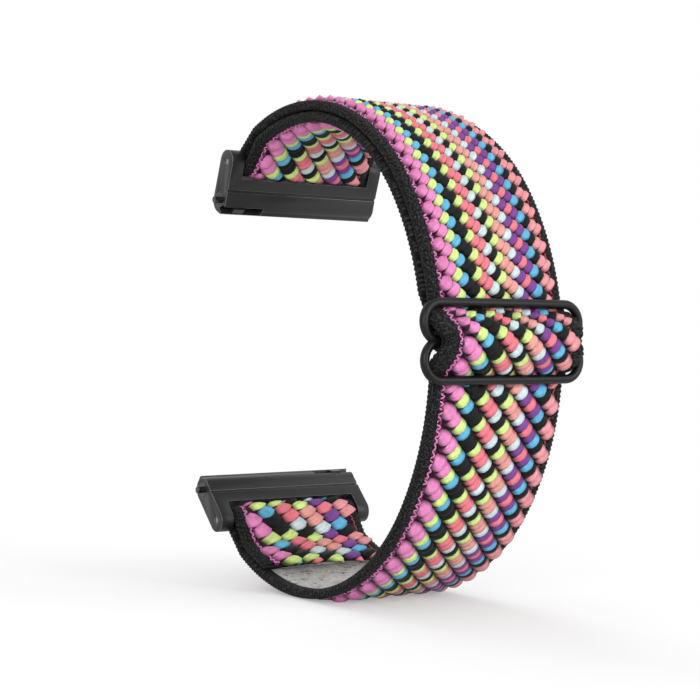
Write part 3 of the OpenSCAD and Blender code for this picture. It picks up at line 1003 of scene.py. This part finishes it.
def rounded_end(s):
    """The rolls close to round ends at the tail's cut and at the sewn end."""
    from_end = max(min(s - CORDS_FROM, CORDS_TO - s), 0)
    return max(LEAST_SIZE, sqrt(min(from_end / END_ROUND, 1.0)))


def pressed_end(s):
    """The sewn end is pressed thinner towards the middle bar."""
    return PRESSED_DROP * smooth(*PRESSED_BETWEEN, s)


def held_down(s):
    """The connectors swing clear of the cords, which lie flatter round the strap pins."""
    point = strap.at(s)[0]
    near = min((point - pin).length for pin in (TOP_PIN, BOTTOM_PIN))
    return NEAR_PIN_DROP * (1 - smooth(*NEAR_PIN, near))


def add_roll(bm, roll, run):
    """One roll of cords, or the part of it that lies in one stretch of the strap."""
    rings = len(run) + 1

    def station(ring):
        return run[min(max(ring - 1, 0), len(run) - 1)]

    def section(ring, side):
        x, s, size, lean, drop, _ = station(ring)
        slope = slant(s)
        cosine = 1 / sqrt(1 + slope * slope)
        size *= rounded_end(s)
        half = 0.5 * ROLL_PITCH * slope * cosine * ROLL_OVERLAP * size
        crest = min(CREST_H + drop, crest_limit(s)) - pressed_end(s) - held_down(s)
        depth = min(ROLL_DEPTH, crest - ROLL_FLOOR)
        middle = crest - depth
        if ring in (0, rings):
            return strap.place(x, s, middle)
        angle = radians(ROLL_ANGLES[side])
        sideways = half * cos(angle)
        forward = lean * sin(angle)
        dx = (sideways * slope + forward) * cosine
        ds = (sideways - forward * slope) * cosine
        rise = sin(angle) if angle >= 0 else UNDERSIDE * sin(angle)
        return strap.place(x + dx, s + ds, middle + depth * size * rise)

    def uv_of(ring, side):
        return (station(ring)[5], (roll + side / len(ROLL_ANGLES)) / ROLLS_IN_MAP)

    def material_of(ring, side):
        nested = TAIL_FOLD_END < station(ring)[1] < UPPER_CUT
        return CORD_MATERIALS.index(CORDS if nested else BEADED_CORDS)

    skin(bm, rings, len(ROLL_ANGLES), section, uv_of, material_of)


def cord_rolls():
    """All rolls of the strap, in one mesh for each of its three stretches."""
    chance = random.Random(11)
    names = ("lower_cords", "slider_cords", "upper_cords")
    meshes = [bmesh.new() for _ in names]
    last_roll = ceil((weave.of(CORDS_TO) + WEAVE_W) / ROLL_PITCH)
    for roll in range(last_roll + 1):
        stations = roll_stations(roll, chance)
        for zone, bm in enumerate(meshes):
            inside = [i for i, station in enumerate(stations)
                      if zone_of(station[1]) == zone and CORDS_FROM < station[1] < CORDS_TO]
            if len(inside) < 2:
                continue
            first = max(inside[0] - 1, 0)
            last = min(inside[-1] + 1, len(stations) - 1)
            run = [s for s in stations[first:last + 1] if CORDS_FROM < s[1] < CORDS_TO]
            add_roll(bm, roll, run)
    return [finish_mesh(name, bm, CORD_MATERIALS) for name, bm in zip(names, meshes)]


# Threads, laced as tubes over points of the strap
THREAD_R = 0.09
THREAD_SIDES = 6
TWIST_RINGS = 8
ZIGZAG_PITCH = 0.8
STEPS_PER_ZIGZAG = 6
STEPS_PER_DRAW = 3
REACH = (0.1, 1.8)
SLIP = (-0.25, 0.25)
SINK = (-0.22, 0.08)
DIVE = 0.2


def lace(bm, spots, radius, sides):
    """A tube of thread through spots of (centre, up direction), rounded off at its ends."""
    count = len(spots)
    rings = count + 1
    frames = []
    for i, (centre, up) in enumerate(spots):
        along = spots[min(i + 1, count - 1)][0] - spots[max(i - 1, 0)][0]
        across = along.cross(up).normalized()
        frames.append((centre, across, across.cross(along).normalized()))

    def section(ring, side):
        centre, across, up = frames[min(max(ring - 1, 0), count - 1)]
        if ring in (0, rings):
            return centre
        angle = 2 * pi * side / sides
        return centre + (across * cos(angle) + up * sin(angle)) * radius * MM

    skin(bm, rings, sides, section, lambda ring, side: (ring / TWIST_RINGS, side / sides))


def edge_spots(thread, start, end, chance):
    """An uneven zigzag along the strap's edge."""
    x, swing, turn, height = thread
    spots = []
    count = ceil((end - start) / (ZIGZAG_PITCH / STEPS_PER_ZIGZAG))
    reach = 1.0
    slip = 0.0
    sink = 0.0
    for i in range(count + 1):
        s = start + (end - start) * i / count
        if i % STEPS_PER_DRAW == 0:
            reach = 0.5 * (reach + chance.uniform(*REACH))
            slip = 0.5 * (slip + chance.uniform(*SLIP))
            sink = 0.5 * (sink + chance.uniform(*SINK))
        wave = reach * sin(2 * pi * (s / ZIGZAG_PITCH + turn + slip))
        outward = wave if x < 0 else -wave
        lift = sink + DIVE * min(outward, 0)
        centre = strap.place(x + swing * wave, s, min(height + lift, crest_limit(s)))
        up = strap.at(s)[1]
        spots.append((centre, Vector((0, up.x, up.y))))
    return spots


def edge_threads(name, start, end):
    """Three threads that bind the cords: pale and plum at the near edge, rust at the far.
    Each is given as its place across, its swing, its turn and its height."""
    bm = bmesh.new()
    chance = random.Random(23)
    threads = [(WEAVE_FROM - 0.02, 0.17, 0.0, 1.2), (WEAVE_FROM + 0.05, 0.24, 0.5, 1.16),
               (-WEAVE_FROM + 0.1, 0.22, 0.25, 1.16)]
    counts = []
    for thread in threads:
        lace(bm, edge_spots(thread, start, end, chance), THREAD_R, THREAD_SIDES)
        counts.append(len(bm.faces))
    bm.faces.ensure_lookup_table()
    for i, face in enumerate(bm.faces):
        face.material_index = bisect_right(counts, i)
    return finish_mesh(name, bm, [PALE_THREAD, PLUM_THREAD, RUST_THREAD])


# The sewing: points of one stitch, as (along the strap, height), and where its row lies
STITCHES = 10
STITCH_R = 0.1
STITCH_MARGIN = 0.5
TAIL_TACK = 2.5
TAIL_STITCH = [(0.75, 1.0), (0.5, 1.22), (0.12, 1.2), (0.0, 1.0), (0.0, 0.5), (0.0, 0.0),
               (0.0, -0.9), (0.0, -1.1), (0.12, -1.3), (0.5, -1.32), (0.75, -1.1)]
SEWN_TACK_UP = 2.4
SEWN_TACK_IN = 3.0
SEWN_STITCH = [(0.5, 1.32), (0.2, 1.36), (-0.04, 1.25), (-0.04, 1.05), (0.08, 0.91),
               (0.4, 0.8), (0.54, 0.9)]


def slider_point(x, up_strap, out):
    point = from_slider([Vector((up_strap, out))])[0]
    return Vector((x, point.x, point.y + STAND_H)) * MM


def stitch_row(name, points, place):
    """A row of stitches across the strap, each laced through the same points."""
    bm = bmesh.new()
    for i in range(STITCHES):
        x = (i + 0.5 - STITCHES / 2) * (WEAVE_W - 2 * STITCH_MARGIN) / STITCHES
        spots = [(place(x, along, height), Vector((1, 0, 0))) for along, height in points]
        lace(bm, spots, STITCH_R, THREAD_SIDES)
    return finish_mesh(name, bm, [TACK_THREAD])


def tail_stitches():
    """Stitches through the folded tail and the strap behind it."""
    return stitch_row("tail_stitches", TAIL_STITCH,
                      lambda x, along, height: strap.place(x, TAIL_TACK + along, height))


def sewn_end_stitches():
    """The bar tack that closes the strap's sewn end round the middle bar."""
    return stitch_row("sewn_end_stitches", SEWN_STITCH,
                      lambda x, along, height: slider_point(
                          x, SEWN_TACK_UP + along, BAR_H - SEWN_TACK_IN + height))


# The slider: a rod bent into two flat rings that share the middle bar
ROD_SIDES = 20
LOBE_STEPS = 28
BAR_STEPS = 12


def bar_path(up):
    """A straight bar from the far end to the near one, as (across, up the strap)."""
    half = BAR_LENGTH / 2
    return [(half - 2 * half * i / BAR_STEPS, up) for i in range(BAR_STEPS + 1)]


def ring_path(side):
    """One ring of the slider, from one end of the middle bar round to the other."""
    lobe_r = BAR_PITCH / 2
    bend = []
    for i in range(LOBE_STEPS + 1):
        angle = pi * i / LOBE_STEPS
        bend.append((BAR_LENGTH / 2 + lobe_r * sin(angle), lobe_r - lobe_r * cos(angle)))
    back = [(-x, up) for x, up in reversed(bend)]
    path = bend + bar_path(BAR_PITCH)[1:-1] + back
    return [(x, side * up) for x, up in path]


def slider_rod():
    bm = bmesh.new()
    out = slider_point(0, 0, BAR_H + 1) - slider_point(0, 0, BAR_H)
    out.normalize()
    for path in (ring_path(1), ring_path(-1), bar_path(0.0)):
        spots = [(slider_point(x, up, BAR_H), out) for x, up in path]
        lace(bm, spots, ROD_R, ROD_SIDES)
    return finish_mesh("slider_rod", bm, [LACQUER])


# The connectors: their machined edges are broken and rubbed brighter, with a painted highlight along them
WELD_DISTANCE = 1e-6
FLAT_WITHIN = 1.0
EDGE_BREAK = 0.11
LEAST_EDGE_ANGLE = 32


def merged_copy(name, node, materials):
    """A copy of a piece of the CAD model, with its flat facets joined."""
    bm = bmesh.new()
    bm.from_mesh(nodes[node].data)
    bmesh.ops.remove_doubles(bm, verts=bm.verts, dist=WELD_DISTANCE)
    bmesh.ops.dissolve_limit(bm, angle_limit=radians(FLAT_WITHIN), verts=bm.verts,
                             edges=bm.edges)
    mesh = bpy.data.meshes.new(name)
    bm.to_mesh(mesh)
    bm.free()
    mesh.polygons.foreach_set("use_smooth", [True] * len(mesh.polygons))
    return new_object(name, mesh, materials)


def connector_body(name, node):
    materials = [GUNMETAL, WORN_HIGHLIT_GUNMETAL]
    piece = merged_copy(name, node, materials)
    edges = piece.modifiers.new("broken_edges", "BEVEL")
    edges.width = EDGE_BREAK * MM
    edges.segments = 2
    edges.limit_method = "ANGLE"
    edges.angle_limit = radians(LEAST_EDGE_ANGLE)
    # The bevel faces take the finish of wear and painted highlight.
    edges.material = materials.index(WORN_HIGHLIT_GUNMETAL)
    edges.harden_normals = True
    return piece


# Camera, light and floor: distance and target in millimetres, lights and floor in metres
CAMERA_TURN = -35
CAMERA_DISTANCE = 198
CAMERA_TARGET = Vector((0, 1.9, STAND_H - 0.05))
LENS = 85
SENSOR_W = 36
NEAREST_SEEN = 0.005
LIGHTS = [("key", (0.2, -0.48, 0.14), 0.35, 1.45), ("fill", (-0.42, -0.4, 0.1), 0.45, 2.0),
          ("back", (0.1, 0.5, 0.45), 0.4, 1.0)]
LIGHT_TARGET = Vector((0, 0, 0.03))
SKY_LIGHT = 0.58
FLOOR_REACH = 4.0
FLOOR_TONE = (0.8, 0.8, 0.8, 1)
NEAR_GLOW = 0.3
WHITE_FROM = 0.05
WHITE_BEYOND = 0.12
WHITE = (1, 1, 1, 1)
UNLIT = (0, 0, 0, 1)


def aim(thing, target):
    thing.rotation_euler = (target - thing.location).to_track_quat("-Z", "Y").to_euler()


def set_camera():
    data = bpy.data.cameras.new("studio_camera")
    data.lens = LENS
    data.sensor_width = SENSOR_W
    data.clip_start = NEAREST_SEEN
    camera = bpy.data.objects.new("studio_camera", data)
    bpy.context.scene.collection.objects.link(camera)
    target = CAMERA_TARGET * MM
    turn = radians(CAMERA_TURN)
    camera.location = target + Vector((sin(turn), -cos(turn), 0)) * CAMERA_DISTANCE * MM
    aim(camera, target)
    bpy.context.scene.camera = camera


def set_light(name, place, size, power):
    data = bpy.data.lights.new(name, "AREA")
    data.size = size
    data.energy = power
    light = bpy.data.objects.new(name, data)
    light.location = place
    bpy.context.scene.collection.objects.link(light)
    aim(light, LIGHT_TARGET)


def is_seen(tree):
    """1 on rays from the camera, and on rays that mirror or pass through something."""
    path = add_node(tree, "LightPath")
    seen = path.outputs["Is Camera Ray"]
    for name in ("Is Glossy Ray", "Is Transmission Ray"):
        either = add_node(tree, "Math", {"operation": "MAXIMUM"})
        tree.links.new(seen, either.inputs[0])
        tree.links.new(path.outputs[name], either.inputs[1])
        seen = either.outputs[0]
    return seen


def mix_shaders(tree, share, first, second):
    mix = add_node(tree, "MixShader", Fac=share)
    tree.links.new(first.outputs[0], mix.inputs[1])
    tree.links.new(second.outputs[0], mix.inputs[2])
    return mix


def set_world():
    """Soft light from all round, which the camera sees as plain white."""
    world = bpy.data.worlds.new("studio")
    bpy.context.scene.world = world
    world.use_nodes = True
    tree = world.node_tree
    light = tree.nodes["Background"]
    light.inputs["Color"].default_value = WHITE
    light.inputs["Strength"].default_value = SKY_LIGHT
    white = add_node(tree, "Background", Color=WHITE, Strength=1.0)
    sky = mix_shaders(tree, is_seen(tree), light, white)
    tree.links.new(sky.outputs[0], tree.nodes["World Output"].inputs["Surface"])


def set_floor():
    """Pale near the loop, where it takes its shadow, and plain white further out."""
    finish = Finish("studio_floor")
    finish.set(Base_Color=FLOOR_TONE, Roughness=1.0, Specular_IOR_Level=0.0)
    away = finish.node("VectorMath", {"operation": "LENGTH"})
    finish.join(finish.node("TexCoord").outputs["Object"], away.inputs[0])
    out = ramped(finish, away.outputs["Value"], WHITE_FROM, WHITE_BEYOND)
    seen = is_seen(finish.tree)
    unlit = finish.node("Emission", Color=UNLIT, Strength=0.0)
    glow = finish.node("Emission", Color=WHITE, Strength=NEAR_GLOW)
    near = finish.node("AddShader")
    finish.join(finish.shader.outputs[0], near.inputs[0])
    finish.join(mix_shaders(finish.tree, seen, unlit, glow).outputs[0], near.inputs[1])
    white = finish.node("Emission", Color=WHITE, Strength=1.0)
    both = mix_shaders(finish.tree, times(finish, out, seen), near, white)
    finish.join(both.outputs[0], finish.tree.nodes["Material Output"].inputs["Surface"])
    bm = bmesh.new()
    bmesh.ops.create_grid(bm, x_segments=1, y_segments=1, size=FLOOR_REACH)
    floor = finish_mesh("studio_floor", bm, [finish.material])
    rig.stage(floor)


bpy.context.scene.view_settings.view_transform = "Standard"
set_camera()
for light in LIGHTS:
    set_light(*light)
set_world()
set_floor()


# Where the strap starts and stops bending with the slider, in degrees round its arcs
LOWER_BEND = (240, 188)
UPPER_BEND = (117, 170)


def loop_point(centre, r, angle):
    """A point of the loop's arcs, where the band stands in the scene."""
    point = centre + polar(r, angle)
    return Vector((0, point.x, point.y + STAND_H)) * MM


# Dress the strap: its lower part, the part between the slider's bars, and its upper part
lower = webbing("lower_webbing", WEB_FROM, LOWER_CUT)
between = webbing("slider_webbing", LOWER_CUT, UPPER_CUT)
upper = webbing("upper_webbing", UPPER_CUT, STRAP_END)
lower_cords, slider_cords, upper_cords = cord_rolls()
lower_threads = edge_threads("lower_edge_threads", THREADS_FROM, LOWER_CUT)
slider_threads = edge_threads("slider_edge_threads", LOWER_CUT, UPPER_CUT)
upper_threads = edge_threads("upper_edge_threads", UPPER_CUT, CORDS_TO)

for piece in (lower, lower_cords, lower_threads):
    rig.blend(piece, "strap", "slider", start=loop_point(BOTTOM_C, END_R, LOWER_BEND[0]),
             end=loop_point(SIDE_C, SIDE_R, LOWER_BEND[1]))
for piece in (upper, upper_cords, upper_threads):
    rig.blend(piece, "strap", "slider", start=loop_point(TOP_C, END_R, UPPER_BEND[0]),
             end=loop_point(SIDE_C, SIDE_R, UPPER_BEND[1]))
for piece in (between, slider_cords, slider_threads):
    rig.ride(piece, "slider")
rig.replaces(lower, "single_layer", "single_layer_feed", "bottom_pin_fold", "folded_tail")
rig.replaces(between, "strap_over_bar")
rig.replaces(upper, "outer_layer", "outer_layer_feed", "top_pin_fold", "inner_layer",
            "inner_layer_feed", "sewn_end")
for piece in (lower, lower_cords, between, slider_cords, upper, upper_cords):
    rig.slot(piece, "webbing")

tail_tack = tail_stitches()
end_tack = sewn_end_stitches()
for piece, body, node in ((tail_tack, "strap", "tail_stitching"),
                          (end_tack, "slider", "sewn_end_stitching")):
    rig.ride(piece, body)
    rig.replaces(piece, node)
for piece in (tail_tack, end_tack, lower_threads, slider_threads, upper_threads):
    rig.slot(piece, "thread")

rod = slider_rod()
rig.ride(rod, "slider")
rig.replaces(rod, "slider_frame")
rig.slot(rod, "slider_rod")

for side in ("top", "bottom"):
    connector = connector_body(side + "_connector_body", side + "_connector")
    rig.ride(connector, side + "_connector_body")
    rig.replaces(connector, side + "_connector")
    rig.slot(connector, "connector_metal")
    for part, material in (("strap_pin", STEEL), ("bar_tube", DARK_STEEL),
                           ("fixed_tip", DARK_STEEL), ("sprung_tip", DARK_STEEL),
                           ("release_lever", GUNMETAL)):
        mesh = nodes[side + "_" + part].data
        mesh.materials.clear()
        mesh.materials.append(material)

# The springs inside the bars shorten as their tips are drawn in, by as much as the tips move
RELEASE_TRAVEL = 1.2
for side, held_end in (("top", max), ("bottom", min)):
    coil = merged_copy(side + "_spring_coil", side + "_bar_spring", [DARK_STEEL])
    reach = [vert.co.x for vert in coil.data.vertices]
    length = max(reach) - min(reach)
    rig.ride(coil, side + "_connector_body")
    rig.replaces(coil, side + "_bar_spring")
    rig.squash(coil, side + "_release_slide", axis=(1, 0, 0), anchor=(held_end(reach), 0, 0),
              keep=1 - RELEASE_TRAVEL * MM / length)

with open("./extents.json", "w") as out:
    seen_box = [list(corner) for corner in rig.bounds()]
    json.dump({"cad": cad_box, "scene": seen_box}, out)
